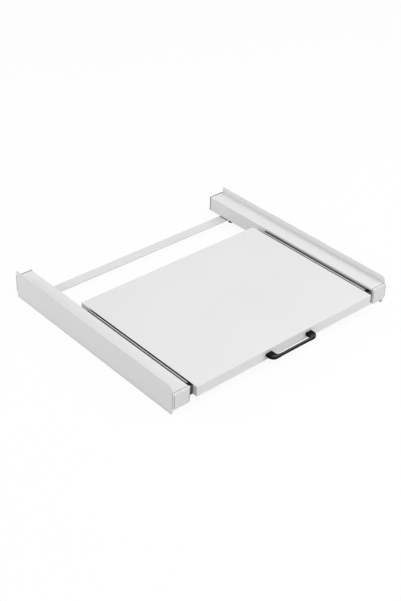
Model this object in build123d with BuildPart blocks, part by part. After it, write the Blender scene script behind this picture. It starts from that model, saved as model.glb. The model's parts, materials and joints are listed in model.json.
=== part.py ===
from build123d import *
import os
from math import cos, radians, sin

# Stacking kit with a pull-out shelf, in millimetres, +Z up, +Y to the rear.
# The origin is the middle of the overall depth and width, at the level of the plates' lower edges.
# The right-hand pieces are at +X. The left-hand ones are their mirror images.

# Side plates and rails
clear_width = 603.0
plate_sheet = 1.5
plate_length = 526.0
lip_height = 15.0
skirt_height = 15.0
plate_top_radius = 12.0
plate_bottom_radius = 4.5
plate_rear_radius = 1.5
rail_width = 39.0
rail_height = 37.0
rail_sheet = 1.5
rail_bend = 3.0
weld_lip = 11.0

# End caps
front_cap_reach = 5.5
rear_cap_reach = 3.0
cap_rim = 0.6
cap_edge_size = 1.0
cap_lower_corner_radius = 5.0
cap_wall = 2.0
cap_groove_size = 0.8
cap_groove_inset = 1.6
cap_groove_end_gap = 5.0
plug_depth = 22.0
plug_fit = 0.25
plug_lead_in = 1.0
plug_rib_count = 3
plug_rib_width = 1.2

# Rear crossbar and foot pads
crossbar_width = 26.0
crossbar_sheet = 2.0
crossbar_rear_inset = 35.0
crossbar_end_gap = 4.0
crossbar_hole_pitch = 18.0
crossbar_corner = 3.0
pad_radius = 6.25
pad_height = 4.0
pad_edge_chamfer = 0.8
pad_sides = 24
pad_front_inset = 48.0
pad_crossbar_gap = 0.8

# Telescopic slides
slide_thickness = 13.5
slide_height = 27.0
slide_length = 317.0
slide_setback = 13.0
slide_sheet = 1.0
slide_bend = 1.0
nest_gap = 0.4
outer_ball_radius = 1.5
inner_ball_radius = 1.25
ball_clearance = 0.1
row_gap = 0.5
groove_slope = 45.0
lip_end_angle = 10.0
middle_tip_angle = 335.0
inner_tip_angle = 35.0
cage_sheet = 0.5
cage_margin = 5.0
cage_grip = 0.9
ball_count = 5
ball_end_inset = 6.0
shelf_travel = 300.0
slide_hole_inset = 37.0
slide_hole_pitch = 224.0
slide_hole_count = 2

# Front bumpers on the slides' inner members
bumper_length = 11.0
bumper_gap = 0.3
bumper_side_gap = 0.6
bumper_top_drop = 0.5
bumper_front_wall = 2.5
bumper_edge_radius = 1.5
bumper_fit = 0.1

# Shelf
shelf_thickness = 24.0
shelf_depth = 371.5
shelf_drop = 4.5
shelf_overhang = 9.5
shelf_sheet = 1.2
shelf_bend = 2.0
shelf_return = 12.0
shelf_notch_width = 13.0
shelf_notch_length = 45.0
stiffener_sheet = 1.0
stiffener_crown = 36.0
stiffener_depth = 14.0
stiffener_brim = 12.0
stiffener_bend = 1.5
stiffener_end_gap = 9.0
stiffener_share = 0.5

# Handle
handle_length = 132.0
handle_reach = 21.5
handle_height = 7.6
handle_waist = 5.8
handle_waist_run = 15.0
handle_leg_width = 17.0
handle_bar_depth = 5.0
handle_outer_radius = 14.0
handle_inner_radius = 6.0
handle_edge_radius = 2.0
handle_bore_depth = 12.0

# Screws
screw_radius = 2.0
screw_hole_clearance = 0.1
countersink_slope = 45.0
pan_head_radius = 3.6
pan_head_height = 2.2
pan_head_edge = 0.8
screw_point = 0.9
crossbar_screw_length = 9.0
outer_screw_length = 8.0
inner_screw_length = 6.5
handle_screw_length = 12.0

# Screws, screw holes, balls and ball pockets repeat, so each has this many flats around it.
small_round_sides = 8

# Places that follow from the sizes above
plate_inner_x = clear_width / 2
plate_outer_x = plate_inner_x + plate_sheet
rail_face_x = plate_inner_x - rail_width
rail_middle_x = plate_inner_x - rail_width / 2
rail_bottom_z = skirt_height
rail_top_z = rail_bottom_z + rail_height
plate_top_z = rail_top_z + lip_height
overall_depth = handle_reach + shelf_overhang + plate_length + rear_cap_reach
front_y = -overall_depth / 2 + handle_reach + shelf_overhang
rear_y = front_y + plate_length
crossbar_y = rear_y - crossbar_rear_inset - crossbar_width / 2
pad_x = rail_face_x + pad_radius
front_pad_y = front_y + pad_front_inset
rear_pad_y = crossbar_y - crossbar_width / 2 - pad_crossbar_gap - pad_radius
slide_z = (rail_bottom_z + rail_top_z) / 2
slide_y = front_y + slide_setback
shelf_side_x = rail_face_x - slide_thickness
shelf_top_z = rail_top_z - shelf_drop
shelf_bottom_z = shelf_top_z - shelf_thickness
shelf_middle_z = (shelf_top_z + shelf_bottom_z) / 2
shelf_front_y = front_y - shelf_overhang
shelf_middle_y = shelf_front_y + shelf_depth / 2
handle_leg_x = (handle_length - handle_leg_width) / 2
screw_hole_radius = screw_radius + screw_hole_clearance
countersink_radius = screw_radius + slide_sheet
slide_hole_ys = [slide_y + slide_hole_inset + slide_hole_pitch * i for i in range(slide_hole_count)]

# The slides' sections are drawn with u from the rail's face to the shelf, and v up from mid-height.
slide_plane = Plane(origin=(rail_face_x, slide_y, slide_z), x_dir=(-1, 0, 0), z_dir=(0, 1, 0))
outer_cage_u = slide_sheet + nest_gap
middle_u = outer_cage_u + cage_sheet + nest_gap
inner_cage_u = middle_u + slide_sheet + nest_gap
inner_tip_u = inner_cage_u + cage_sheet + nest_gap
outer_groove = outer_ball_radius + ball_clearance + slide_sheet / 2
inner_groove = inner_ball_radius + ball_clearance + slide_sheet / 2
slope_sin = sin(radians(groove_slope))
slope_cos = cos(radians(groove_slope))
inner_ball_u = inner_tip_u + (inner_groove + slide_sheet / 2) * sin(radians(inner_tip_angle))
outer_ball_u = inner_ball_u + (outer_groove + slide_bend) * slope_sin + row_gap
outer_ball_v = slide_height / 2 - slide_sheet - ball_clearance - outer_ball_radius
middle_flange_v = outer_ball_v - outer_groove * slope_cos + slide_bend * (1 - slope_cos)
inner_ball_v = middle_flange_v - slide_sheet / 2 - ball_clearance - inner_ball_radius
inner_flange_v = inner_ball_v - inner_groove * slope_cos + slide_bend * (1 - slope_cos)
cage_length = slide_length - shelf_travel / 2 - 2 * cage_margin
cage_y = slide_y + (slide_length - cage_length) / 2
ball_pitch = (cage_length - 2 * ball_end_inset) / (ball_count - 1)
ball_ys = [cage_y + ball_end_inset + ball_pitch * i for i in range(ball_count)]

finished = {}


def finish(name, piece):
    """Name a finished piece and keep it for writing."""
    piece.label = name
    finished[name] = piece


def finish_pair(name, piece):
    """Keep a right-hand piece and its mirror image on the left."""
    with BuildPart() as twin:
        mirror(piece, about=Plane.YZ)
    finish("right_" + name, piece)
    finish("left_" + name, twin.part)


def screw_seat(x, y, z, direction):
    """Plane at a screw head's seat, whose normal points out of the material."""
    return Plane(origin=(x, y, z), z_dir=direction)


def small_round(radius):
    """Outline of a small round piece or hole: flats around a circle of this radius."""
    return RegularPolygon(radius, small_round_sides, major_radius=False)


def make_countersunk_screw(length):
    """Flat-headed screw: its head is flush with z = 0 and it points down."""
    with BuildPart() as screw:
        with BuildSketch():
            small_round(countersink_radius)
        extrude(amount=-slide_sheet, taper=countersink_slope)
        with BuildSketch(Plane.XY.offset(-slide_sheet)):
            small_round(screw_radius)
        extrude(amount=slide_sheet - length)
        chamfer(screw.faces().sort_by(Axis.Z)[0].edges(), screw_point)
    return screw.part


def make_pan_screw(length):
    """Pan-headed screw: its head stands on z = 0 and its shank points down."""
    with BuildPart() as screw:
        with BuildSketch():
            small_round(pan_head_radius)
        extrude(amount=pan_head_height)
        chamfer(screw.faces().sort_by(Axis.Z)[-1].edges(), pan_head_edge)
        with BuildSketch():
            small_round(screw_radius)
        extrude(amount=-length)
        chamfer(screw.faces().sort_by(Axis.Z)[0].edges(), screw_point)
    return screw.part


# Side plate: a flat sheet that stands above the rail as a lip and hangs below it as a skirt
with BuildPart() as side_plate:
    with BuildSketch(Plane.YZ.offset(plate_inner_x)):
        with BuildLine():
            FilletPolyline(
                (rear_y, 0),
                (front_y, 0),
                (front_y, plate_top_z),
                (rear_y, plate_top_z),
                radius=[plate_rear_radius, plate_bottom_radius, plate_top_radius, plate_rear_radius],
                close=True,
            )
        make_face()
    extrude(amount=plate_sheet)
finish_pair("side_plate", side_plate.part)

# Rail: a folded channel whose two lips lie flat against the plate
rail_centre_x = (rail_face_x + rail_sheet / 2, plate_inner_x - rail_sheet / 2)
rail_centre_z = (rail_bottom_z + rail_sheet / 2, rail_top_z - rail_sheet / 2)
with BuildPart() as rail_channel:
    with BuildSketch(Plane.XZ.offset(-front_y)):
        with BuildLine() as rail_path:
            FilletPolyline(
                (rail_centre_x[1], rail_bottom_z + weld_lip),
                (rail_centre_x[1], rail_centre_z[0]),
                (rail_centre_x[0], rail_centre_z[0]),
                (rail_centre_x[0], rail_centre_z[1]),
                (rail_centre_x[1], rail_centre_z[1]),
                (rail_centre_x[1], rail_top_z - weld_lip),
                radius=rail_bend - rail_sheet / 2,
            )
        trace(rail_path.line, line_width=rail_sheet)
    extrude(amount=-plate_length)
    with BuildSketch(Plane.YZ.offset(rail_face_x)):
        with Locations(*[(y, slide_z) for y in slide_hole_ys]):
            small_round(screw_hole_radius)
    extrude(amount=rail_sheet, mode=Mode.SUBTRACT)
    with BuildSketch(Plane.XY.offset(rail_bottom_z)):
        with Locations((rail_middle_x, crossbar_y)):
            with GridLocations(crossbar_hole_pitch, 1, 2, 1):
                small_round(screw_hole_radius)
    extrude(amount=rail_sheet, mode=Mode.SUBTRACT)
finish_pair("rail_channel", rail_channel.part)


def make_end_cap(face_y, outward, reach):
    """Moulded cap: a grooved cover over the ends of the rail and plate, and a plug in the rail."""
    cover_plane = Plane(origin=(0, face_y, 0), x_dir=(-outward, 0, 0), z_dir=(0, outward, 0))
    side = -outward
    cover_x = (side * (rail_face_x - cap_rim), side * plate_outer_x)
    cover_z = (rail_bottom_z - cap_rim, rail_top_z + cap_rim)
    plug_x = (rail_face_x + rail_sheet + plug_fit, plate_inner_x - rail_sheet - plug_fit)
    plug_z = (rail_bottom_z + rail_sheet + plug_fit, rail_top_z - rail_sheet - plug_fit)
    plug_width = plug_x[1] - plug_x[0]
    plug_height = plug_z[1] - plug_z[0]
    plug_corner = rail_bend - rail_sheet
    middle = (side * sum(plug_x) / 2, sum(plug_z) / 2)
    groove_pitch = abs(cover_x[1] - cover_x[0]) - 2 * cap_groove_inset
    groove_length = cover_z[1] - cover_z[0] - 2 * cap_groove_end_gap
    with BuildPart() as cap:
        with BuildSketch(cover_plane) as cover:
            with BuildLine():
                Polyline(
                    (cover_x[1], cover_z[1]),
                    (cover_x[0], cover_z[1]),
                    (cover_x[0], cover_z[0]),
                    (cover_x[1], cover_z[0]),
                    close=True,
                )
            make_face()
            lower_corner = cover.vertices().sort_by_distance((cover_x[0], cover_z[0]))[0]
            fillet(lower_corner, cap_lower_corner_radius)
        extrude(amount=reach)
        front_edges = cap.faces().sort_by(Axis.Y)[-1 if outward > 0 else 0].edges()
        chamfer(front_edges, cap_edge_size)
        with BuildSketch(cover_plane.offset(reach)):
            with Locations((sum(cover_x) / 2, sum(cover_z) / 2)):
                with GridLocations(groove_pitch, 1, 2, 1):
                    Rectangle(cap_groove_size, groove_length)
        extrude(amount=-cap_groove_size, mode=Mode.SUBTRACT)
        with BuildSketch(cover_plane) as plug:
            with Locations(middle):
                Rectangle(plug_width, plug_height)
            chamfer(plug.vertices(), plug_corner)
        extrude(amount=-plug_depth)
        chamfer(cap.faces().sort_by(Axis.Y)[0 if outward > 0 else -1].edges(), plug_lead_in)
        with BuildSketch(cover_plane.offset(-plug_depth)):
            with Locations(middle):
                Rectangle(plug_width - 2 * cap_wall, plug_height - 2 * cap_wall)
        extrude(amount=plug_depth + reach - cap_wall, mode=Mode.SUBTRACT)
        with BuildSketch(cover_plane.offset(plug_lead_in - plug_depth)):
            with Locations(middle):
                with GridLocations(plug_width / (plug_rib_count + 1), 1, plug_rib_count, 1):
                    Rectangle(plug_rib_width, plug_height - cap_wall)
        extrude(amount=plug_depth + reach - cap_wall - plug_lead_in)
    return cap.part


finish_pair("front_cap", make_end_cap(front_y, -1, front_cap_reach))
finish_pair("rear_cap", make_end_cap(rear_y, 1, rear_cap_reach))

# Rear crossbar: a flat bar under both rails
crossbar_length = clear_width - 2 * crossbar_end_gap
crossbar_bottom_z = rail_bottom_z - crossbar_sheet
crossbar_hole_xs = [
    side * rail_middle_x + step * crossbar_hole_pitch / 2 for side in (-1, 1) for step in (-1, 1)
]
crossbar_seats = [screw_seat(x, crossbar_y, crossbar_bottom_z, (0, 0, -1)) for x in crossbar_hole_xs]
with BuildPart() as rear_crossbar:
    with BuildSketch(Plane.XY.offset(crossbar_bottom_z)) as crossbar_outline:
        with Locations((0, crossbar_y)):
            Rectangle(crossbar_length, crossbar_width)
        chamfer(crossbar_outline.vertices(), crossbar_corner)
    extrude(amount=crossbar_sheet)
    with BuildSketch(*crossbar_seats):
        small_round(screw_hole_radius)
    extrude(amount=-crossbar_sheet, mode=Mode.SUBTRACT)
    with BuildSketch(*crossbar_seats):
        small_round(countersink_radius + screw_hole_clearance)
    extrude(amount=-slide_sheet, taper=countersink_slope, mode=Mode.SUBTRACT)
finish("rear_crossbar", rear_crossbar.part)

crossbar_screw = make_countersunk_screw(crossbar_screw_length)
with BuildPart() as crossbar_screws:
    with Locations(*crossbar_seats):
        add(crossbar_screw)
finish("crossbar_screws", crossbar_screws.part)


def make_foot_pad(y):
    """Round rubber pad glued under a rail."""
    with BuildPart() as pad:
        with BuildSketch(Plane.XY.offset(rail_bottom_z - pad_height)):
            with Locations((pad_x, y)):
                RegularPolygon(pad_radius, pad_sides, major_radius=False)
        extrude(amount=pad_height)
        chamfer(pad.faces().sort_by(Axis.Z)[0].edges(), pad_edge_chamfer)
    return pad.part


finish_pair("front_foot_pad", make_foot_pad(front_pad_y))
finish_pair("rear_foot_pad", make_foot_pad(rear_pad_y))


def make_slide_member(half_path, length, start=0):
    """Rolled steel member: a half section's centre line, made symmetrical, thickened and extruded."""
    with BuildPart() as member:
        with BuildSketch(slide_plane.offset(start)):
            trace(half_path, line_width=slide_sheet)
            mirror(about=Plane.XZ)
        extrude(amount=length)
    return member.part


# Outer member's half section: web, flange, and a lip curled over the outer balls
outer_flange_v = (slide_height - slide_sheet) / 2
with BuildLine() as outer_half:
    web = Line((slide_sheet / 2, 0), (slide_sheet / 2, outer_flange_v - slide_bend))
    corner = JernArc(web @ 1, web % 1, slide_bend, -90)
    flange = Line(corner @ 1, (outer_ball_u, outer_flange_v))
    JernArc(flange @ 1, flange % 1, outer_groove, lip_end_angle - 90)

# Middle member's half section: web, flange, and a groove under the outer balls
middle_web_u = middle_u + slide_sheet / 2
groove_start_u = outer_ball_u - (outer_groove + slide_bend) * slope_sin
with BuildLine() as middle_half:
    web = Line((middle_web_u, 0), (middle_web_u, middle_flange_v - slide_bend))
    corner = JernArc(web @ 1, web % 1, slide_bend, -90)
    flange = Line(corner @ 1, (groove_start_u, middle_flange_v))
    dip = JernArc(flange @ 1, flange % 1, slide_bend, -groove_slope)
    JernArc(dip @ 1, dip % 1, outer_groove, middle_tip_angle - 270 + groove_slope)

# Inner member's half section: web on the shelf's side, flange, and a groove under the inner balls
inner_web_u = slide_thickness - slide_sheet / 2
inner_bend_u = inner_ball_u + (inner_groove + slide_bend) * slope_sin
with BuildLine() as inner_half:
    web = Line((inner_web_u, 0), (inner_web_u, inner_flange_v - slide_bend))
    corner = JernArc(web @ 1, web % 1, slide_bend, 90)
    flange = Line(corner @ 1, (inner_bend_u, inner_flange_v))
    dip = JernArc(flange @ 1, flange % 1, slide_bend, groove_slope)
    JernArc(dip @ 1, dip % 1, inner_groove, -groove_slope - inner_tip_angle)

outer_screw_seats = [screw_seat(rail_face_x - slide_sheet, y, slide_z, (-1, 0, 0)) for y in slide_hole_ys]
with BuildPart() as outer_slide_member:
    add(make_slide_member(outer_half.line, slide_length))
    with BuildSketch(*outer_screw_seats):
        small_round(countersink_radius + screw_hole_clearance)
    extrude(amount=-slide_sheet, taper=countersink_slope, mode=Mode.SUBTRACT)
finish_pair("outer_slide_member", outer_slide_member.part)

finish_pair("middle_slide_member", make_slide_member(middle_half.line, slide_length))

inner_start = bumper_front_wall - bumper_length - bumper_gap
with BuildPart() as inner_slide_member:
    add(make_slide_member(inner_half.line, slide_length - inner_start, inner_start))
    with BuildSketch(Plane.YZ.offset(shelf_side_x)):
        with Locations(*[(y, slide_z) for y in slide_hole_ys]):
            small_round(screw_hole_radius)
    extrude(amount=slide_sheet, mode=Mode.SUBTRACT)
finish_pair("inner_slide_member", inner_slide_member.part)

outer_screw = make_countersunk_screw(outer_screw_length)
with BuildPart() as outer_member_screws:
    with Locations(*outer_screw_seats):
        add(outer_screw)
finish_pair("outer_member_screws", outer_member_screws.part)

inner_screw = make_pan_screw(inner_screw_length)
with BuildPart() as inner_member_screws:
    with Locations(*[screw_seat(shelf_side_x + slide_sheet, y, slide_z, (1, 0, 0)) for y in slide_hole_ys]):
        add(inner_screw)
finish_pair("inner_member_screws", inner_member_screws.part)


def make_ball_cage(web_u, ball_u, ball_v, ball_radius):
    """Thin channel between two members, with a pocket in its flanges for each ball."""
    reach_u = ball_u + cage_grip
    with BuildPart() as cage:
        with BuildSketch(slide_plane.offset(cage_y - slide_y)):
            with BuildLine() as cage_path:
                FilletPolyline(
                    (reach_u, ball_v),
                    (web_u + cage_sheet / 2, ball_v),
                    (web_u + cage_sheet / 2, -ball_v),
                    (reach_u, -ball_v),
                    radius=cage_sheet,
                )
            trace(cage_path.line, line_width=cage_sheet)
        extrude(amount=cage_length)
        with BuildSketch(Plane.XY.offset(slide_z - ball_v - cage_sheet)):
            with Locations(*[(rail_face_x - ball_u, y) for y in ball_ys]):
                small_round(ball_radius + ball_clearance)
        extrude(amount=2 * (ball_v + cage_sheet), mode=Mode.SUBTRACT)
    return cage.part


def make_balls(ball_u, ball_v, ball_radius):
    """Two rows of balls, each cut by flats that follow its outline from three sides."""
    with BuildPart() as ball:
        with BuildSketch():
            RegularPolygon(ball_radius, small_round_sides)
        extrude(amount=ball_radius, both=True)
        for side_plane in (Plane.XZ, Plane.YZ):
            with BuildSketch(side_plane):
                RegularPolygon(ball_radius, small_round_sides)
            extrude(amount=ball_radius, both=True, mode=Mode.INTERSECT)
    with BuildPart() as balls:
        with Locations(*[(rail_face_x - ball_u, y, slide_z + v) for y in ball_ys for v in (-ball_v, ball_v)]):
            add(ball.part)
    return balls.part


finish_pair("outer_ball_cage", make_ball_cage(outer_cage_u, outer_ball_u, outer_ball_v, outer_ball_radius))
finish_pair("outer_balls", make_balls(outer_ball_u, outer_ball_v, outer_ball_radius))
finish_pair("inner_ball_cage", make_ball_cage(inner_cage_u, inner_ball_u, inner_ball_v, inner_ball_radius))
finish_pair("inner_balls", make_balls(inner_ball_u, inner_ball_v, inner_ball_radius))

# Bumper: a moulded block clipped on the inner member's front end, which meets the outer member
bumper_v = (shelf_bottom_z - slide_z, shelf_top_z - bumper_top_drop - slide_z)
socket_depth = slide_thickness - inner_cage_u
socket_v = inner_flange_v + slide_sheet / 2 + bumper_fit
with BuildPart() as bumper:
    with BuildSketch(slide_plane.offset(-bumper_gap - bumper_length)):
        with Locations(((bumper_side_gap + slide_thickness) / 2, sum(bumper_v) / 2)):
            Rectangle(slide_thickness - bumper_side_gap, bumper_v[1] - bumper_v[0])
    extrude(amount=bumper_length)
    fillet(bumper.faces().sort_by(Axis.Y)[0].edges(), bumper_edge_radius)
    with BuildSketch(slide_plane.offset(inner_start)):
        with Locations((slide_thickness, 0)):
            Rectangle(2 * socket_depth, 2 * socket_v)
    extrude(amount=bumper_length, mode=Mode.SUBTRACT)
finish_pair("slide_bumper", bumper.part)

handle_seat_y = shelf_front_y + shelf_sheet
handle_screw_seats = [
    screw_seat(side * handle_leg_x, handle_seat_y, shelf_middle_z, (0, 1, 0)) for side in (-1, 1)
]

# Shelf: a sheet-metal pan, open below, with return flanges notched at its corners
shelf_width = 2 * shelf_side_x
with BuildPart() as shelf_pan:
    with BuildSketch(Plane.XY.offset(shelf_bottom_z)):
        with Locations((0, shelf_middle_y)):
            Rectangle(shelf_width, shelf_depth)
    extrude(amount=shelf_thickness)
    fillet(shelf_pan.faces().sort_by(Axis.Z)[-1].edges(), shelf_bend)
    offset(amount=-shelf_sheet, openings=shelf_pan.faces().sort_by(Axis.Z)[0])
    with BuildSketch(Plane.XY.offset(shelf_bottom_z)):
        with Locations((0, shelf_middle_y)):
            Rectangle(shelf_width - shelf_sheet, shelf_depth - shelf_sheet)
            Rectangle(shelf_width - 2 * shelf_return, shelf_depth - 2 * shelf_return, mode=Mode.SUBTRACT)
            with GridLocations(shelf_width - shelf_sheet, shelf_depth - shelf_sheet, 2, 2):
                Rectangle(2 * shelf_notch_width, 2 * shelf_notch_length, mode=Mode.SUBTRACT)
    extrude(amount=shelf_sheet)
    with BuildSketch(Plane.YZ.offset(-shelf_side_x)):
        with Locations(*[(y, slide_z) for y in slide_hole_ys]):
            small_round(screw_hole_radius)
    extrude(amount=shelf_width, mode=Mode.SUBTRACT)
    with BuildSketch(*handle_screw_seats):
        small_round(screw_hole_radius)
    extrude(amount=-shelf_sheet, mode=Mode.SUBTRACT)
finish("shelf_pan", shelf_pan.part)


def make_stiffener(y):
    """Folded hat section across the shelf, its brims against the underside of the top sheet."""
    brim_z = shelf_top_z - shelf_sheet - stiffener_sheet / 2
    crown_z = shelf_top_z - shelf_sheet - stiffener_depth + stiffener_sheet / 2
    length = shelf_width - 2 * (shelf_sheet + stiffener_end_gap)
    half_crown = (stiffener_crown - stiffener_sheet) / 2
    with BuildPart() as hat:
        with BuildSketch(Plane.YZ.offset(-length / 2)):
            with BuildLine() as hat_path:
                FilletPolyline(
                    (y - half_crown - stiffener_brim, brim_z),
                    (y - half_crown, brim_z),
                    (y - half_crown, crown_z),
                    (y + half_crown, crown_z),
                    (y + half_crown, brim_z),
                    (y + half_crown + stiffener_brim, brim_z),
                    radius=stiffener_bend,
                )
            trace(hat_path.line, line_width=stiffener_sheet)
        extrude(amount=length)
    return hat.part


stiffener_step = shelf_depth * stiffener_share / 2
finish("front_stiffener", make_stiffener(shelf_middle_y - stiffener_step))
finish("rear_stiffener", make_stiffener(shelf_middle_y + stiffener_step))

# Handle: a moulded bow with two solid legs and a slimmer bar
handle_front_y = shelf_front_y - handle_reach
handle_bar_y = handle_front_y + handle_bar_depth
handle_gap = handle_length - 2 * handle_leg_width
with BuildPart() as handle:
    with BuildSketch(Plane.XY.offset(shelf_middle_z - handle_height / 2)):
        with BuildLine():
            FilletPolyline(
                (-handle_length / 2, shelf_front_y),
                (-handle_length / 2, handle_front_y),
                (handle_length / 2, handle_front_y),
                (handle_length / 2, shelf_front_y),
                radius=handle_outer_radius,
            )
            Line((handle_length / 2, shelf_front_y), (handle_gap / 2, shelf_front_y))
            FilletPolyline(
                (handle_gap / 2, shelf_front_y),
                (handle_gap / 2, handle_bar_y),
                (-handle_gap / 2, handle_bar_y),
                (-handle_gap / 2, shelf_front_y),
                radius=handle_inner_radius,
            )
            Line((-handle_gap / 2, shelf_front_y), (-handle_length / 2, shelf_front_y))
        make_face()
    extrude(amount=handle_height)
    with BuildSketch(Plane.XZ.offset(-shelf_front_y)):
        for side in (-1, 1):
            with BuildLine():
                Polyline(
                    (-handle_gap / 2, shelf_middle_z + side * handle_height / 2),
                    (handle_waist_run - handle_gap / 2, shelf_middle_z + side * handle_waist / 2),
                    (handle_gap / 2 - handle_waist_run, shelf_middle_z + side * handle_waist / 2),
                    (handle_gap / 2, shelf_middle_z + side * handle_height / 2),
                    close=True,
                )
            make_face()
    extrude(amount=handle_reach, mode=Mode.SUBTRACT)
    feet = handle.faces().group_by(Axis.Y)[-1]
    leg_edges = handle.edges().filter_by(lambda edge: abs(edge.center().X) > handle_leg_x)
    front_edges = handle.edges().filter_by(lambda edge: edge.center().Y < handle_front_y + handle_edge_radius)
    rounded_edges = ShapeList(set(leg_edges + front_edges)) - feet.edges()
    fillet(rounded_edges, handle_edge_radius)
    with BuildSketch(*handle_screw_seats):
        small_round(screw_hole_radius)
    extrude(amount=-shelf_sheet - handle_bore_depth, mode=Mode.SUBTRACT)
finish("handle", handle.part)

handle_screw = make_pan_screw(handle_screw_length)
with BuildPart() as handle_screws:
    with Locations(*handle_screw_seats):
        add(handle_screw)
finish("handle_screws", handle_screws.part)

os.makedirs("parts", exist_ok=True)
for name, piece in finished.items():
    export_step(piece, f"parts/{name}.step")
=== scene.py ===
import json
from math import cos, hypot, pi, radians, sin

import bmesh
import bpy
from mathutils import Matrix, Vector


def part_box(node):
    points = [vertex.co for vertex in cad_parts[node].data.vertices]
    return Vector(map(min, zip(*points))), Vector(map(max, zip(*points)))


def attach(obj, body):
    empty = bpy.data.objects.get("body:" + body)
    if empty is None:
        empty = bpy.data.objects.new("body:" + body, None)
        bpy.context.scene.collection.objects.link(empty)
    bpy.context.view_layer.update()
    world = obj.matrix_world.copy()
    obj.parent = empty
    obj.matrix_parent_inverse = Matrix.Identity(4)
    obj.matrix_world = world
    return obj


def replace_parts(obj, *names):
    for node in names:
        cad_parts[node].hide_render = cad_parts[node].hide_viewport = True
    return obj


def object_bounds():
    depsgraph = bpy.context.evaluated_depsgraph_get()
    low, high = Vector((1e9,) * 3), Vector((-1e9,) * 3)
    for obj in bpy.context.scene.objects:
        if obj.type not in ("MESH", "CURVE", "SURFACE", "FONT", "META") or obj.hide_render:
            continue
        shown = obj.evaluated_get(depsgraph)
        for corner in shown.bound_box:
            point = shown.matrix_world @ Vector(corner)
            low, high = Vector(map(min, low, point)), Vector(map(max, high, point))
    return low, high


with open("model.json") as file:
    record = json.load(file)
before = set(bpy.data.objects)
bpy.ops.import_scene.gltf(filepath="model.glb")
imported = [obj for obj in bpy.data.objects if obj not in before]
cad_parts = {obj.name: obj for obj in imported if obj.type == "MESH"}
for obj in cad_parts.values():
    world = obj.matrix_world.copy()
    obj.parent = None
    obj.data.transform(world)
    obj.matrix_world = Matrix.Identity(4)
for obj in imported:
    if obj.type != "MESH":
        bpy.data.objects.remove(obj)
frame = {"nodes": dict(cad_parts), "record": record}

# All lengths are in metres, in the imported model's frame: +X right, +Y rear, +Z up.
cad_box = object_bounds()

# Axes by number, and each side's direction in x
axes = x_axis, y_axis, z_axis = range(3)
sides = {"left": -1, "right": 1}

# Camera, fitted to the frame's outline in the photograph
photo_height_px = 601
focal_length_px = 1132.74
sensor_long_side_mm = 36.0
camera_place = Vector((-1.3871, -1.52135, 1.3991))
camera_back = Vector((-0.55503, -0.61423, 0.56095)).normalized()
camera_right = Vector((0.75211, -0.65864, 0.02299)).normalized()

# Studio. The floor has its own brightness for light that bounces. To the camera, this share of it
# is plain white.
plain_white = (1.0, 1.0, 1.0, 1.0)
floor_size = 12.0
floor_bounce = 0.6
floor_glow_share = 0.92
sky_strength = 0.5
lamps = {
    "front_left": {"place": (-0.9, -2.6, 3.2), "size": 2.6, "power": 46.0},
    "front_right": {"place": (1.8, -2.6, 2.2), "size": 2.2, "power": 27.9},
    "rear_left_low": {"place": (-1.9, 1.6, 0.9), "size": 1.2, "power": 18.9},
    "right_high": {"place": (1.5, -0.8, 1.8), "size": 1.5, "power": 11.5},
}

# Colours, as linear values
powder_white = (0.815, 0.817, 0.812)
# The crossbar's white is the powder white made darker: painted shade
crossbar_shaded_white = (0.775, 0.777, 0.772)
plastic_white = (0.79, 0.792, 0.785)
plastic_grey = (0.48, 0.48, 0.475)
slide_black = (0.03, 0.03, 0.0305)
# Bare steel for worn corners, also used for the painted highlight on the slide's lip, and the grey
# of the lip's painted sheen
bare_steel_and_highlight = (0.8, 0.8, 0.79)
lip_sheen_grey = (0.2, 0.2, 0.2)
zinc_grey = (0.55, 0.56, 0.57)
galvanised_grey = (0.5, 0.51, 0.52)
ball_grey = (0.7, 0.7, 0.72)
rubber_black = (0.008, 0.008, 0.0085)
plastic_black = (0.003, 0.003, 0.0032)
# Painted light on black plastic: the sheen on the handle's top, and the bumpers' lighter fronts
painted_top_sheen_black = (0.055, 0.055, 0.056)
bumper_painted_front_light = (0.09, 0.09, 0.091)

# Sockets for colours on a Mix node
mix_colour_inputs = (6, 7)
mix_colour_output = 2

# Noise patterns: where their values mostly lie, a narrower range for more contrast, the range of
# two patterns' sum, and the range over which wear grows to its full strength
noise_detail = 3.0
noise_roughness = 0.55
noise_range = (0.3, 0.7)
noise_core = (0.35, 0.65)
noise_sum_range = (0.7, 1.3)
wear_range = (0.45, 0.7)
wear_strength = (0.0, 0.5)

# Painted shade in corners and creases: the open share of the surroundings, from open to hemmed
# in. Edges: how alike the rounded and the true direction are, from flat to sharp.
painted_shade_samples = 12
painted_shade_range = (1.0, 0.45)
bevel_samples = 6
edge_range = (0.97, 0.75)

# Powder coat. A face counts as upright over this range of its direction's share in z.
coat_faded = 0.97
coat_handled = 0.9
coat_edge_radius = 0.0008
coat_upright_range = (0.7, 0.3)
# Painted shade on upright faces, near what they stand on
coat_upright_painted_shade = {"reach": 0.012, "darkest": 0.9}
coat_roughness = (0.36, 0.5)
coat_specular = 0.45
# Painted shade in the coat's crevices
coat_crevice_painted_shade = {"reach": 0.001, "darkest": 0.85}
# Painted shadow along the crossbar where it passes under the rails
crossbar_crevice_painted_shade = {"reach": 0.005, "darkest": 0.25}

# Moulded plastic, with painted shadow lines where a cap meets the ends of its rail and plate
white_mottle = 0.04
grey_mottle = 0.08
# Painted shade in the plastic's grooves
moulded_crevice_painted_shade = {"reach": 0.002, "darkest": 0.3}
moulded_roughness = (0.48, 0.62)
cap_seam_width = 0.0012
cap_seams_y = (-0.249, 0.277)
cap_seam_shadow_tone = 0.3

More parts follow.
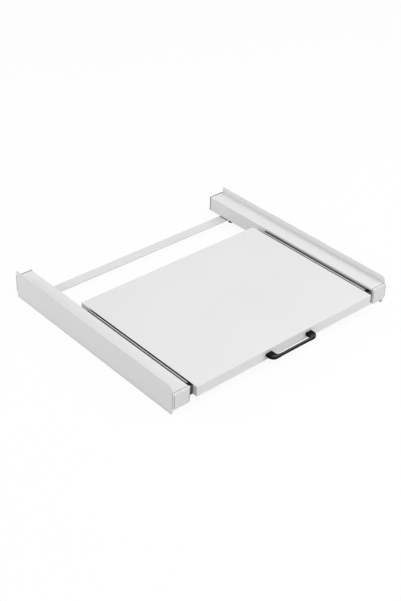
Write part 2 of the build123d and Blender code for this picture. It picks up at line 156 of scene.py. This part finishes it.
# Slide coat. A painted highlight runs along the outer member's curled lip, over this range of the
# distance from the middle and from this height up. The lip's inner side is painted a mid grey, a
# painted sheen, from its own height up. The coat's streaks run along y.
lip_highlight_x = (0.2530, 0.2549)
lip_highlight_z = 0.0465
lip_curl_z = 0.0440
lip_highlight_blur = 0.0002
slide_edge_radius = 0.0004
slide_streak_tone = 2.5
slide_streak_stretch = (1.0, 0.02, 1.0)
slide_metal_range = (0.4, 0.6)
slide_roughness = (0.38, 0.5)
slide_specular = 0.25

# Zinc with its marks along y, galvanised sheet, balls and rubber
zinc_dull = 0.8
zinc_roughness = (0.26, 0.42)
zinc_mark_stretch = (1.0, 0.05, 1.0)
crystal_scale = 130.0
crystal_dark = 0.78
crystal_roughness = (0.34, 0.52)
ball_haze = 0.85
ball_roughness = (0.1, 0.22)
rubber_bloom = 2.2
rubber_bloom_range = (0.45, 0.75)
rubber_roughness = (0.7, 0.88)
rubber_specular = 0.3

# Black plastic, with painted light. A painted sheen lies on the top of the handle's bar, over this
# range in y, and front faces are lighter. No part of a bumper lies in its range.
handle_front_light_tone = 3.0
handle_top_sheen_y = (-0.270, -0.2745)
bumper_top_sheen_y = (1.0, 2.0)
black_mottle_tone = 1.6
black_mottle_range = (0.35, 0.7)
black_top_sheen_range = (0.3, 0.9)
black_front_light_range = (-0.3, -0.9)
black_roughness = (0.42, 0.52)
black_specular = 0.06

# Edges of the pieces made here that turn by more than this show as sharp. CAD corners that are
# closer than this are one corner.
sharp_angle = radians(40)
weld_distance = 1e-6

# Screws, with a cross recess in each head. Each recess is turned on from the one before.
screw_sides = 24
shank_radius = 0.002
thread_pitch = 0.0008
thread_depth = 0.0003
point_length = 0.0009
flat_head_radius = 0.003
flat_head_height = 0.0
pan_radius = 0.0036
pan_head_height = 0.0022
pan_edge_radius = 0.0014
pan_edge_steps = 6
recess_arm = 0.0009
recess_reach = 0.0036
recess_depth = 0.0011
recess_flare = 1.3
recess_turn = 0.7

# Balls
ball_segments = 24
ball_rings = 16

# Foot pads, with rings of these radii moulded in their undersides
pad_radius = 0.00625
pad_edge_radius = 0.0008
pad_edge_steps = 5
pad_sides = 48
pad_rings = (0.0018, 0.0036)
pad_ring_width = 0.0008
pad_ring_depth = 0.0003

# Sheet metal edges: the solids' bend radii and the tighter ones shown here, and how far a corner
# may lie from its arc
rail_bend, rail_bend_shown = 0.003, 0.001
shelf_bend, shelf_bend_shown = 0.002, 0.0008
plate_corner, plate_corner_shown = 0.012, 0.0085
arc_slack = 0.00001

# Smooth fillet between a rail's top and the plate's lip, and how far its hidden sides sink in
fillet_radius = 0.0015
fillet_steps = 6
fillet_root = rail_bend / 2
fillet_toe = rail_bend / 10

# Thin black strip on each side of the shelf, above the slide: painted shade in the gap
strip_thickness = 0.00045
strip_bead = 0.00045
strip_bead_steps = 6
strip_drop = 0.0003


class Nodes:
    """A node tree, with short calls that add nodes and set or link their inputs."""

    def __init__(self, tree):
        self.tree = tree

    def node(self, kind, inputs=None, **settings):
        made = self.tree.nodes.new(kind)
        for key, value in settings.items():
            setattr(made, key, value)
        for key, value in (inputs or {}).items():
            self.feed(made.inputs[key], value)
        return made

    def feed(self, socket, value):
        if isinstance(value, bpy.types.NodeSocket):
            self.tree.links.new(value, socket)
        else:
            socket.default_value = value

    def math(self, operation, first, second=0.0):
        return self.node("ShaderNodeMath", {0: first, 1: second}, operation=operation).outputs[0]

    def span(self, value, source, target=(0.0, 1.0)):
        """The value, carried from one range to another and held inside it."""
        inputs = {"Value": value, "From Min": source[0], "From Max": source[1]}
        inputs |= {"To Min": target[0], "To Max": target[1]}
        return self.node("ShaderNodeMapRange", inputs).outputs[0]

    def blend(self, factor, first, second):
        """Mix of two shader nodes."""
        inputs = {0: factor, 1: first.outputs[0], 2: second.outputs[0]}
        return self.node("ShaderNodeMixShader", inputs).outputs[0]

    def seen_directly(self):
        """1 for rays from the camera, from mirrors and through glass, 0 for light that bounces."""
        path = self.node("ShaderNodeLightPath").outputs
        seen = path["Is Camera Ray"]
        for kind in ("Is Glossy Ray", "Is Transmission Ray"):
            seen = self.math("MAXIMUM", seen, path[kind])
        return seen


class Shading(Nodes):
    """One material, with short calls for the nodes that the finishes share."""

    def __init__(self, name):
        self.material = bpy.data.materials.new(name)
        self.material.use_nodes = True
        super().__init__(self.material.node_tree)
        self.surface = self.tree.nodes["Principled BSDF"]
        self.coordinates = self.node("ShaderNodeTexCoord").outputs["Object"]

    def set(self, **values):
        for key, value in values.items():
            self.feed(self.surface.inputs[key.replace("_", " ")], value)

    def place(self):
        """Position in the model's frame, as X, Y and Z."""
        return self.node("ShaderNodeSeparateXYZ", {0: self.coordinates}).outputs

    def facing(self):
        """Direction of the surface, as X, Y and Z."""
        normal = self.node("ShaderNodeNewGeometry").outputs["Normal"]
        return self.node("ShaderNodeSeparateXYZ", {0: normal}).outputs

    def noise(self, scale, detail=noise_detail, stretch=(1.0, 1.0, 1.0)):
        mapping = self.node("ShaderNodeMapping", {"Vector": self.coordinates, "Scale": stretch})
        inputs = {"Vector": mapping.outputs[0], "Scale": scale}
        inputs |= {"Detail": detail, "Roughness": noise_roughness}
        return self.node("ShaderNodeTexNoise", inputs).outputs["Fac"]

    def mix(self, factor, first, second, blend_type="MIX"):
        """Mix of two colours, each a socket or three numbers."""
        made = self.node("ShaderNodeMix", {0: factor}, data_type="RGBA", blend_type=blend_type)
        for index, colour in zip(mix_colour_inputs, (first, second)):
            linked = isinstance(colour, bpy.types.NodeSocket)
            self.feed(made.inputs[index], colour if linked else (*colour, 1.0))
        return made.outputs[mix_colour_output]

    def painted_shade(self, colour, reach, darkest):
        """The colour, with painted shade where surfaces within reach hem it in."""
        inputs = {"Distance": reach}
        seen = self.node("ShaderNodeAmbientOcclusion", inputs, samples=painted_shade_samples)
        factor = self.span(seen.outputs["AO"], painted_shade_range)
        return self.mix(factor, colour, (darkest, darkest, darkest), "MULTIPLY")

    def rounded(self, radius):
        """Direction of the surface, with its edges rounded by this radius."""
        return self.node("ShaderNodeBevel", {"Radius": radius}, samples=bevel_samples).outputs[0]

    def worn_edges(self, radius):
        """1 where the surface turns sharply within the radius, 0 on flats."""
        inputs = {0: self.rounded(radius)}
        inputs[1] = self.node("ShaderNodeNewGeometry").outputs["Normal"]
        likeness = self.node("ShaderNodeVectorMath", inputs, operation="DOT_PRODUCT")
        return self.span(likeness.outputs["Value"], edge_range)

    def wear(self, radius, scale):
        """Patchy wear along edges."""
        patches = self.span(self.noise(scale), wear_range, wear_strength)
        return self.math("MULTIPLY", self.worn_edges(radius), patches)

    def bump(self, pattern, height, strength, soft_edge):
        """Grain of this height, on a surface whose edges look softened by a radius."""
        inputs = {"Height": pattern, "Distance": height, "Strength": strength}
        inputs["Normal"] = self.rounded(soft_edge)
        self.set(Normal=self.node("ShaderNodeBump", inputs).outputs[0])


def shade(colour, share):
    return tuple(share * c for c in colour)


def powder_coat(name, white, crevice_painted_shade):
    """Satin white powder coat: orange peel, faint uneven tone, and handling marks at the edges.

    Upright faces get painted shade near what they stand on, and crevices get painted shade."""
    s = Shading(name)
    tone = s.noise(scale=5.0, detail=2.0)
    speck = s.noise(scale=420.0, detail=2.0)
    colour = s.mix(s.span(tone, noise_range), white, shade(white, coat_faded))
    marks = s.wear(coat_edge_radius, scale=60.0)
    colour = s.mix(marks, colour, shade(white, coat_handled))
    upright = s.span(s.math("ABSOLUTE", s.facing()["Z"]), coat_upright_range)
    # Painted shade on upright faces near what they stand on, then in crevices
    colour = s.mix(upright, colour, s.painted_shade(colour, **coat_upright_painted_shade))
    s.set(Base_Color=s.painted_shade(colour, **crevice_painted_shade))
    s.set(Roughness=s.span(s.math("ADD", tone, speck), noise_sum_range, coat_roughness))
    s.set(Specular_IOR_Level=coat_specular)
    s.bump(s.noise(scale=900.0, detail=1.0), height=0.00004, strength=0.35, soft_edge=0.0006)
    return s.material


def moulded_plastic(name, colour, mottle):
    """Matt moulded plastic: fine spark-eroded grain, faint mottle, painted shade at caps' seams and
    grooves.
    """
    s = Shading(name)
    tone = s.noise(scale=9.0, detail=2.0)
    colour = s.mix(s.span(tone, noise_range), colour, shade(colour, 1.0 - mottle))
    along = s.place()["Y"]
    gaps = [s.math("ABSOLUTE", s.math("SUBTRACT", along, y)) for y in cap_seams_y]
    # Painted shadow lines along the caps' seams
    seam = s.math("LESS_THAN", s.math("MINIMUM", *gaps), cap_seam_width)
    colour = s.mix(seam, colour, shade(plastic_white, cap_seam_shadow_tone))
    # Painted shade in grooves
    s.set(Base_Color=s.painted_shade(colour, **moulded_crevice_painted_shade))
    s.set(Roughness=s.span(s.noise(scale=300.0), noise_range, moulded_roughness))
    s.bump(s.noise(scale=1600.0, detail=2.0), height=0.00004, strength=0.4, soft_edge=0.0006)
    return s.material


def coated_slide():
    """Black coated steel, rubbed through to bright metal on corners, painted highlight and sheen on
    the lip.
    """
    s = Shading("black_slide_coat")
    streak = s.noise(scale=220.0, stretch=slide_streak_stretch)
    place = s.place()
    across = s.math("ABSOLUTE", place["X"])
    low, high = lip_highlight_x
    # Painted highlight along the outer lip, and painted sheen on the lip's inner side
    painted_lip_highlight = s.math(
        "MULTIPLY",
        s.span(across, (low, low + lip_highlight_blur)),
        s.span(across, (high, high - lip_highlight_blur)),
    )
    painted_lip_highlight = s.math("MULTIPLY", painted_lip_highlight, s.span(place["Z"], (lip_highlight_z, lip_highlight_z + lip_highlight_blur)))
    inside = s.span(across, (low + lip_highlight_blur, low))
    painted_curl_sheen = s.math("MULTIPLY", inside, s.math("GREATER_THAN", place["Z"], lip_curl_z))
    rub = s.wear(slide_edge_radius, scale=90.0)
    wear_and_highlight = s.math("MAXIMUM", painted_lip_highlight, rub)
    tone = s.mix(s.span(streak, noise_core), slide_black, shade(slide_black, slide_streak_tone))
    s.set(Base_Color=s.mix(wear_and_highlight, s.mix(painted_curl_sheen, tone, lip_sheen_grey), bare_steel_and_highlight))
    s.set(Metallic=s.span(rub, slide_metal_range))
    s.set(Roughness=s.span(streak, noise_range, slide_roughness))
    s.set(Specular_IOR_Level=slide_specular)
    s.bump(streak, height=0.00002, strength=0.3, soft_edge=0.0004)
    return s.material


def zinc_plate():
    """Bright zinc plate with fine rolling marks and a few dull patches."""
    s = Shading("zinc_plate")
    cloud = s.noise(scale=140.0)
    s.set(Base_Color=s.mix(s.span(cloud, noise_core), zinc_grey, shade(zinc_grey, zinc_dull)))
    s.set(Metallic=1.0)
    s.set(Roughness=s.span(cloud, noise_range, zinc_roughness))
    marks = s.noise(scale=700.0, stretch=zinc_mark_stretch)
    s.bump(marks, height=0.00002, strength=0.3, soft_edge=0.0003)
    return s.material


def galvanised_sheet():
    """Hot-dip galvanised sheet: a soft pattern of crystal patches."""
    s = Shading("galvanised_sheet")
    inputs = {"Vector": s.coordinates, "Scale": crystal_scale, "Randomness": 1.0}
    patch = s.node("ShaderNodeTexVoronoi", inputs).outputs["Color"]
    value = s.node("ShaderNodeSeparateColor", {0: patch}).outputs[0]
    s.set(Base_Color=s.mix(value, galvanised_grey, shade(galvanised_grey, crystal_dark)))
    s.set(Metallic=1.0)
    s.set(Roughness=s.span(value, (0.0, 1.0), crystal_roughness))
    s.bump(s.noise(scale=260.0), height=0.00003, strength=0.3, soft_edge=0.0004)
    return s.material


def bearing_steel():
    """Polished balls with the faint haze of grease."""
    s = Shading("ball_steel")
    haze = s.noise(scale=600.0)
    s.set(Base_Color=s.mix(haze, ball_grey, shade(ball_grey, ball_haze)))
    s.set(Metallic=1.0)
    s.set(Roughness=s.span(haze, noise_range, ball_roughness))
    return s.material


def foot_rubber():
    """Matt black rubber with a dusty bloom."""
    s = Shading("black_rubber")
    bloom = s.noise(scale=160.0)
    dusty = shade(rubber_black, rubber_bloom)
    s.set(Base_Color=s.mix(s.span(bloom, rubber_bloom_range), rubber_black, dusty))
    s.set(Roughness=s.span(bloom, noise_range, rubber_roughness))
    s.set(Specular_IOR_Level=rubber_specular)
    s.bump(s.noise(scale=1100.0), height=0.00005, strength=0.5, soft_edge=0.0003)
    return s.material


def black_plastic(name, painted_front_light, top_sheen_y):
    """Satin black moulded plastic, fine grain; painted light: lighter front faces, sheen on top in
    a y range.
    """
    s = Shading(name)
    mottle = s.noise(scale=35.0)
    facing = s.facing()
    top = s.span(facing["Z"], black_top_sheen_range)
    # Painted light: a sheen on top over a range in y, and lighter front faces
    painted_top_sheen = s.math("MULTIPLY", s.span(s.place()["Y"], top_sheen_y), top)
    mottled = shade(plastic_black, black_mottle_tone)
    colour = s.mix(s.span(mottle, black_mottle_range), plastic_black, mottled)
    colour = s.mix(s.span(facing["Y"], black_front_light_range), colour, painted_front_light)
    s.set(Base_Color=s.mix(painted_top_sheen, colour, painted_top_sheen_black))
    s.set(Roughness=s.span(mottle, noise_range, black_roughness))
    s.set(Specular_IOR_Level=black_specular)
    s.bump(s.noise(scale=1400.0, detail=2.0), height=0.00005, strength=0.4, soft_edge=0.0005)
    return s.material


handle_painted_front_light = shade(plastic_black, handle_front_light_tone)
finishes = {
    "white_powder_coat": powder_coat("white_powder_coat", powder_white, coat_crevice_painted_shade),
    "white_plastic": moulded_plastic("white_plastic", plastic_white, white_mottle),
    "grey_plastic": moulded_plastic("grey_plastic", plastic_grey, grey_mottle),
    "black_slide_coat": coated_slide(),
    "zinc_plate": zinc_plate(),
    "galvanised_sheet": galvanised_sheet(),
    "ball_steel": bearing_steel(),
    "black_rubber": foot_rubber(),
    "black_plastic": black_plastic("black_plastic", handle_painted_front_light, handle_top_sheen_y),
}
bumper_finish = black_plastic("bumper_plastic", bumper_painted_front_light, bumper_top_sheen_y)
# Darker copy of the powder coat for the crossbar, with painted shadow in its crevices
crossbar_finish = powder_coat("crossbar_shaded_powder_coat", crossbar_shaded_white, crossbar_crevice_painted_shade)
slot_of = {row["node"]: row["material_slot"] for row in frame["record"]["subparts"]}
body_of = {
    node: body for body, nodes in frame["record"]["behaviour"]["bodies"].items() for node in nodes
}
for node, piece in frame["nodes"].items():
    piece.data.materials.clear()
    piece.data.materials.append(finishes[slot_of[node]])
for side in sides:
    frame["nodes"][f"{side}_slide_bumper"].data.materials[0] = bumper_finish
frame["nodes"]["rear_crossbar"].data.materials[0] = crossbar_finish


def solids_of(node):
    """Lowest and highest corners of each separate solid in a CAD node."""
    joined = bmesh.new()
    joined.from_mesh(frame["nodes"][node].data)
    bmesh.ops.remove_doubles(joined, verts=joined.verts, dist=weld_distance)
    boxes = []
    left = set(joined.verts)
    for first in joined.verts:
        if first not in left:
            continue
        left.remove(first)
        waiting = [first]
        points = []
        while waiting:
            vertex = waiting.pop()
            points.append(vertex.co.copy())
            for edge in vertex.link_edges:
                other = edge.other_vert(vertex)
                if other in left:
                    left.remove(other)
                    waiting.append(other)
        low = Vector(min(p[axis] for p in points) for axis in axes)
        high = Vector(max(p[axis] for p in points) for axis in axes)
        boxes.append((low, high))
    joined.free()
    return boxes


def mesh_of(shape, name):
    """Shaded mesh of a bmesh, which is freed."""
    bmesh.ops.recalc_face_normals(shape, faces=shape.faces)
    mesh = bpy.data.meshes.new(name)
    shape.to_mesh(mesh)
    shape.free()
    mesh.shade_smooth()
    mesh.set_sharp_from_angle(angle=sharp_angle)
    return mesh


def add_piece(name, mesh, slot, body):
    """Show a mesh, made in the model's frame, on a body."""
    mesh.materials.clear()
    mesh.materials.append(finishes[slot])
    piece = bpy.data.objects.new(name, mesh)
    bpy.context.scene.collection.objects.link(piece)
    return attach(piece, body)


def replace_node(node, mesh):
    """Show this mesh in place of a CAD node."""
    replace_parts(add_piece(node + "_detail", mesh, slot_of[node], body_of[node]), node)


def tighten(node, edges, radius, new_radius):
    """Show a copy of a CAD node whose rounded edges have a smaller radius.

    An edge is two (axis, direction) pairs: the sides of the node's box that meet there."""
    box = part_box(node)
    mesh = frame["nodes"][node].data.copy()
    for vertex in mesh.vertices:
        old = vertex.co.copy()
        for edge in edges:
            limits = [(axis, way, box[way > 0][axis]) for axis, way in edge]
            offsets = [way * (old[axis] - limit) + radius for axis, way, limit in limits]
            if min(offsets) > -arc_slack and abs(hypot(*offsets) - radius) < arc_slack:
                for (axis, way, limit), offset in zip(limits, offsets):
                    vertex.co[axis] = limit + way * (offset / radius - 1.0) * new_radius
    replace_node(node, mesh)


def turned(profile, steps):
    """Solid of revolution about +Z. The profile's (radius, height) points run from axis to axis."""
    shape = bmesh.new()
    rings = []
    for radius, height in profile:
        if radius == 0.0:
            rings.append([shape.verts.new((0.0, 0.0, height))])
        else:
            angles = [2 * pi * k / steps for k in range(steps)]
            points = [(radius * cos(a), radius * sin(a), height) for a in angles]
            rings.append([shape.verts.new(point) for point in points])
    for ring, following in zip(rings, rings[1:]):
        for k in range(steps):
            corners = [
                ring[k % len(ring)],
                ring[(k + 1) % len(ring)],
                following[(k + 1) % len(following)],
                following[k % len(following)],
            ]
            shape.faces.new(list(dict.fromkeys(corners)))
    return shape


def arc(centre, radius, start, stop, steps):
    """Profile points along an arc, from one angle to another, in radians from the first axis."""
    angles = [start + (stop - start) * k / steps for k in range(steps + 1)]
    return [(centre[0] + radius * cos(a), centre[1] + radius * sin(a)) for a in angles]


def joined_copy(shape, other):
    """Add the other bmesh's faces to the first, and free it."""
    mesh = bpy.data.meshes.new("copy")
    other.to_mesh(mesh)
    other.free()
    shape.from_mesh(mesh)
    bpy.data.meshes.remove(mesh)


def cut(shape, cutter):
    """The first bmesh with the second one's volume taken away. Both are freed."""
    pair = []
    for part in (shape, cutter):
        bmesh.ops.recalc_face_normals(part, faces=part.faces)
        mesh = bpy.data.meshes.new("cut")
        part.to_mesh(mesh)
        part.free()
        pair.append(bpy.data.objects.new("cut", mesh))
        bpy.context.scene.collection.objects.link(pair[-1])
    modifier = pair[0].modifiers.new("cut", "BOOLEAN")
    modifier.operation = "DIFFERENCE"
    modifier.solver = "EXACT"
    modifier.object = pair[1]
    result = bmesh.new()
    result.from_object(pair[0], bpy.context.evaluated_depsgraph_get())
    for made in pair:
        mesh = made.data
        bpy.data.objects.remove(made)
        bpy.data.meshes.remove(mesh)
    return result


def skinned(first, last):
    """Solid between two outlines that have the same number of points."""
    shape = bmesh.new()
    rings = [[shape.verts.new(point) for point in outline] for outline in (first, last)]
    shape.faces.new(rings[0])
    shape.faces.new(rings[1][::-1])
    for k in range(len(first)):
        shape.faces.new((rings[0][k - 1], rings[0][k], rings[1][k], rings[1][k - 1]))
    return shape


def cross_cutter(top):
    """Tapered cross that leaves a driver recess in a screw's head."""
    outlines = []
    for way, scale in ((1, recess_flare), (-1, 1.0 / recess_flare)):
        arm, reach = scale * recess_arm / 2, scale * recess_reach / 2
        quarter = [(reach, -arm), (reach, arm), (arm, arm)]
        outline = []
        for _ in range(4):
            outline += quarter
            quarter = [(-y, x) for x, y in quarter]
        outlines.append([(x, y, top + way * recess_depth) for x, y in outline])
    return skinned(*outlines)


def screw_profile(length, head_height):
    """Profile of a screw with its head's seat or rim at height 0 and its point down."""
    if head_height:
        centre = (pan_radius - pan_edge_radius, head_height - pan_edge_radius)
        head = [(0.0, head_height)]
        head += arc(centre, pan_edge_radius, pi / 2, 0.0, pan_edge_steps)
        head += [(pan_radius, 0.0), (shank_radius, 0.0)]
        shank_top = 0.0
    else:
        shank_top = shank_radius - flat_head_radius
        head = [(0.0, 0.0), (flat_head_radius, 0.0), (shank_radius, shank_top)]
    thread = []
    height = shank_top - thread_pitch / 2
    while height > point_length - length + thread_pitch:
        thread += [
            (shank_radius, height),
            (shank_radius - thread_depth, height - thread_pitch / 2),
        ]
        height -= thread_pitch
    point = [
        (shank_radius, point_length - length),
        (shank_radius - point_length, -length),
        (0.0, -length),
    ]
    return head + thread + point


def add_screws(node, toward, head_height):
    """Turned screws with cross recesses and threads, each where the CAD node has one."""
    toward = Vector(toward)
    screws = bmesh.new()
    for number, (low, high) in enumerate(solids_of(node)):
        reach = abs((high - low).dot(toward)) / 2
        seat = (low + high) / 2 + toward * (reach - head_height)
        profile = screw_profile(2 * reach - head_height, head_height)
        screw = cut(turned(profile, screw_sides), cross_cutter(head_height))
        turn = Matrix.Rotation(recess_turn * number, 4, "Z")
        aim = toward.to_track_quat("Z", "Y").to_matrix().to_4x4()
        screw.transform(Matrix.Translation(seat) @ aim @ turn)
        joined_copy(screws, screw)
    replace_node(node, mesh_of(screws, node))


def add_balls(node):
    """Round balls, each where the CAD node has one."""
    balls = bmesh.new()
    for low, high in solids_of(node):
        bmesh.ops.create_uvsphere(
            balls,
            u_segments=ball_segments,
            v_segments=ball_rings,
            radius=(high.z - low.z) / 2,
            matrix=Matrix.Translation((low + high) / 2),
        )
    replace_node(node, mesh_of(balls, node))


def add_foot_pad(node):
    """Round rubber pad with a rounded lower edge and rings moulded in its underside."""
    low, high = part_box(node)
    height = high.z - low.z
    profile = [(0.0, 0.0)]
    for ring in pad_rings:
        profile += [
            (ring - pad_ring_width / 2, 0.0),
            (ring - pad_ring_width / 4, pad_ring_depth),
            (ring + pad_ring_width / 4, pad_ring_depth),
            (ring + pad_ring_width / 2, 0.0),
        ]
    centre = (pad_radius - pad_edge_radius, pad_edge_radius)
    profile += arc(centre, pad_edge_radius, -pi / 2, 0.0, pad_edge_steps)
    profile += [(pad_radius, height), (0.0, height)]
    pad = turned(profile, pad_sides)
    middle = (low + high) / 2
    pad.transform(Matrix.Translation((middle.x, middle.y, low.z)))
    replace_node(node, mesh_of(pad, node))


def extruded(outline, sign, start, end):
    """Bar along y with this outline of (x, z) points, mirrored in x where the sign is -1."""
    return skinned(*([(sign * x, y, z) for x, z in outline] for y in (start, end)))


def add_fillet(side, sign):
    """Concave fillet that fills the corner between a rail's top and the plate's lip."""
    rail_low, rail_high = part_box(f"{side}_rail_channel")
    corner_x = max(abs(rail_low.x), abs(rail_high.x))
    top = rail_high.z
    centre = (corner_x - fillet_radius, top + fillet_radius)
    outline = arc(centre, fillet_radius, -pi / 2, 0.0, fillet_steps)
    outline += [(corner_x, top - fillet_root), (corner_x - fillet_root, top - fillet_toe)]
    shape = extruded(outline, sign, rail_low.y, rail_high.y)
    add_piece(f"{side}_seam_fillet", mesh_of(shape, "fillet"), "white_powder_coat", "frame")


def add_shade_strip(side, sign):
    """Thin black strip with a beaded top, on the shelf's side above the slide: painted shade."""
    member_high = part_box(f"{side}_inner_slide_member")[1]
    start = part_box(f"{side}_slide_bumper")[1].y
    shelf_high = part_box("shelf_pan")[1]
    bead_x = shelf_high.x + strip_thickness
    bead_z = shelf_high.z - strip_drop - strip_bead
    outline = [(shelf_high.x, member_high.z), (bead_x, member_high.z)]
    outline += arc((bead_x, bead_z), strip_bead, -pi / 2, pi / 2, strip_bead_steps)
    outline += [(shelf_high.x, bead_z + strip_bead)]
    shape = extruded(outline, sign, start, member_high.y)
    add_piece(f"{side}_shelf_shade_strip", mesh_of(shape, "strip"), "black_rubber", "shelf")


def add_floor():
    """Pale floor that the camera and mirrors see as nearly white, with the object's shadow."""
    bpy.ops.mesh.primitive_plane_add(size=floor_size, location=(0.0, 0.0, cad_box[0][2]))
    floor = bpy.context.object
    floor.name = "floor"
    material = bpy.data.materials.new("floor")
    material.use_nodes = True
    material.node_tree.nodes.clear()
    n = Nodes(material.node_tree)
    seen = n.seen_directly()
    tint = n.node("ShaderNodeMapRange", {"Value": seen, "To Min": floor_bounce}).outputs[0]
    diffuse = n.node("ShaderNodeBsdfDiffuse", {"Color": tint})
    glow = n.node("ShaderNodeEmission")
    surface = n.blend(n.math("MULTIPLY", seen, floor_glow_share), diffuse, glow)
    n.node("ShaderNodeOutputMaterial", {0: surface})
    floor.data.materials.append(material)


def add_world():
    """Even sky light. Camera and mirror rays see plain white."""
    world = bpy.data.worlds.new("studio")
    bpy.context.scene.world = world
    world.use_nodes = True
    world.node_tree.nodes.clear()
    n = Nodes(world.node_tree)
    sky = n.node("ShaderNodeBackground", {"Color": plain_white, "Strength": sky_strength})
    surround = n.node("ShaderNodeBackground", {"Color": plain_white})
    n.node("ShaderNodeOutputWorld", {0: n.blend(n.seen_directly(), sky, surround)})


def add_lamp(name, place, size, power):
    """Square soft lamp, turned to the object's middle."""
    data = bpy.data.lights.new(name, "AREA")
    data.size = size
    data.energy = power
    lamp = bpy.data.objects.new(name, data)
    bpy.context.scene.collection.objects.link(lamp)
    lamp.location = place
    lamp.rotation_euler = Vector(place).to_track_quat("Z", "Y").to_euler()


def add_camera():
    """Camera where the photographer's stood."""
    data = bpy.data.cameras.new("camera")
    data.sensor_width = sensor_long_side_mm
    data.lens = focal_length_px * sensor_long_side_mm / photo_height_px
    camera = bpy.data.objects.new("camera", data)
    bpy.context.scene.collection.objects.link(camera)
    camera_up = camera_back.cross(camera_right)
    turn = Matrix((camera_right, camera_up, camera_back)).transposed()
    camera.matrix_world = Matrix.Translation(camera_place) @ turn.to_4x4()
    bpy.context.scene.camera = camera


top_side = (z_axis, 1)
front_side = (y_axis, -1)
for side, sign in sides.items():
    inner_side = (x_axis, -sign)
    tighten(f"{side}_rail_channel", [(inner_side, top_side)], rail_bend, rail_bend_shown)
    tighten(f"{side}_side_plate", [(front_side, top_side)], plate_corner, plate_corner_shown)
    add_fillet(side, sign)
    # Painted shade: a dark strip in the gap beside the shelf
    add_shade_strip(side, sign)
    add_screws(f"{side}_outer_member_screws", (-sign, 0, 0), flat_head_height)
    add_screws(f"{side}_inner_member_screws", (sign, 0, 0), pan_head_height)
    for row in ("outer", "inner"):
        add_balls(f"{side}_{row}_balls")
    for end in ("front", "rear"):
        add_foot_pad(f"{side}_{end}_foot_pad")
shelf_edges = [((axis, way), top_side) for axis in (x_axis, y_axis) for way in (-1, 1)]
tighten("shelf_pan", shelf_edges, shelf_bend, shelf_bend_shown)
add_screws("crossbar_screws", (0, 0, -1), flat_head_height)
add_screws("handle_screws", (0, 1, 0), pan_head_height)

add_floor()
add_world()
for lamp_name, lamp in lamps.items():
    add_lamp(lamp_name, **lamp)
add_camera()
bpy.context.scene.view_settings.view_transform = "Standard"
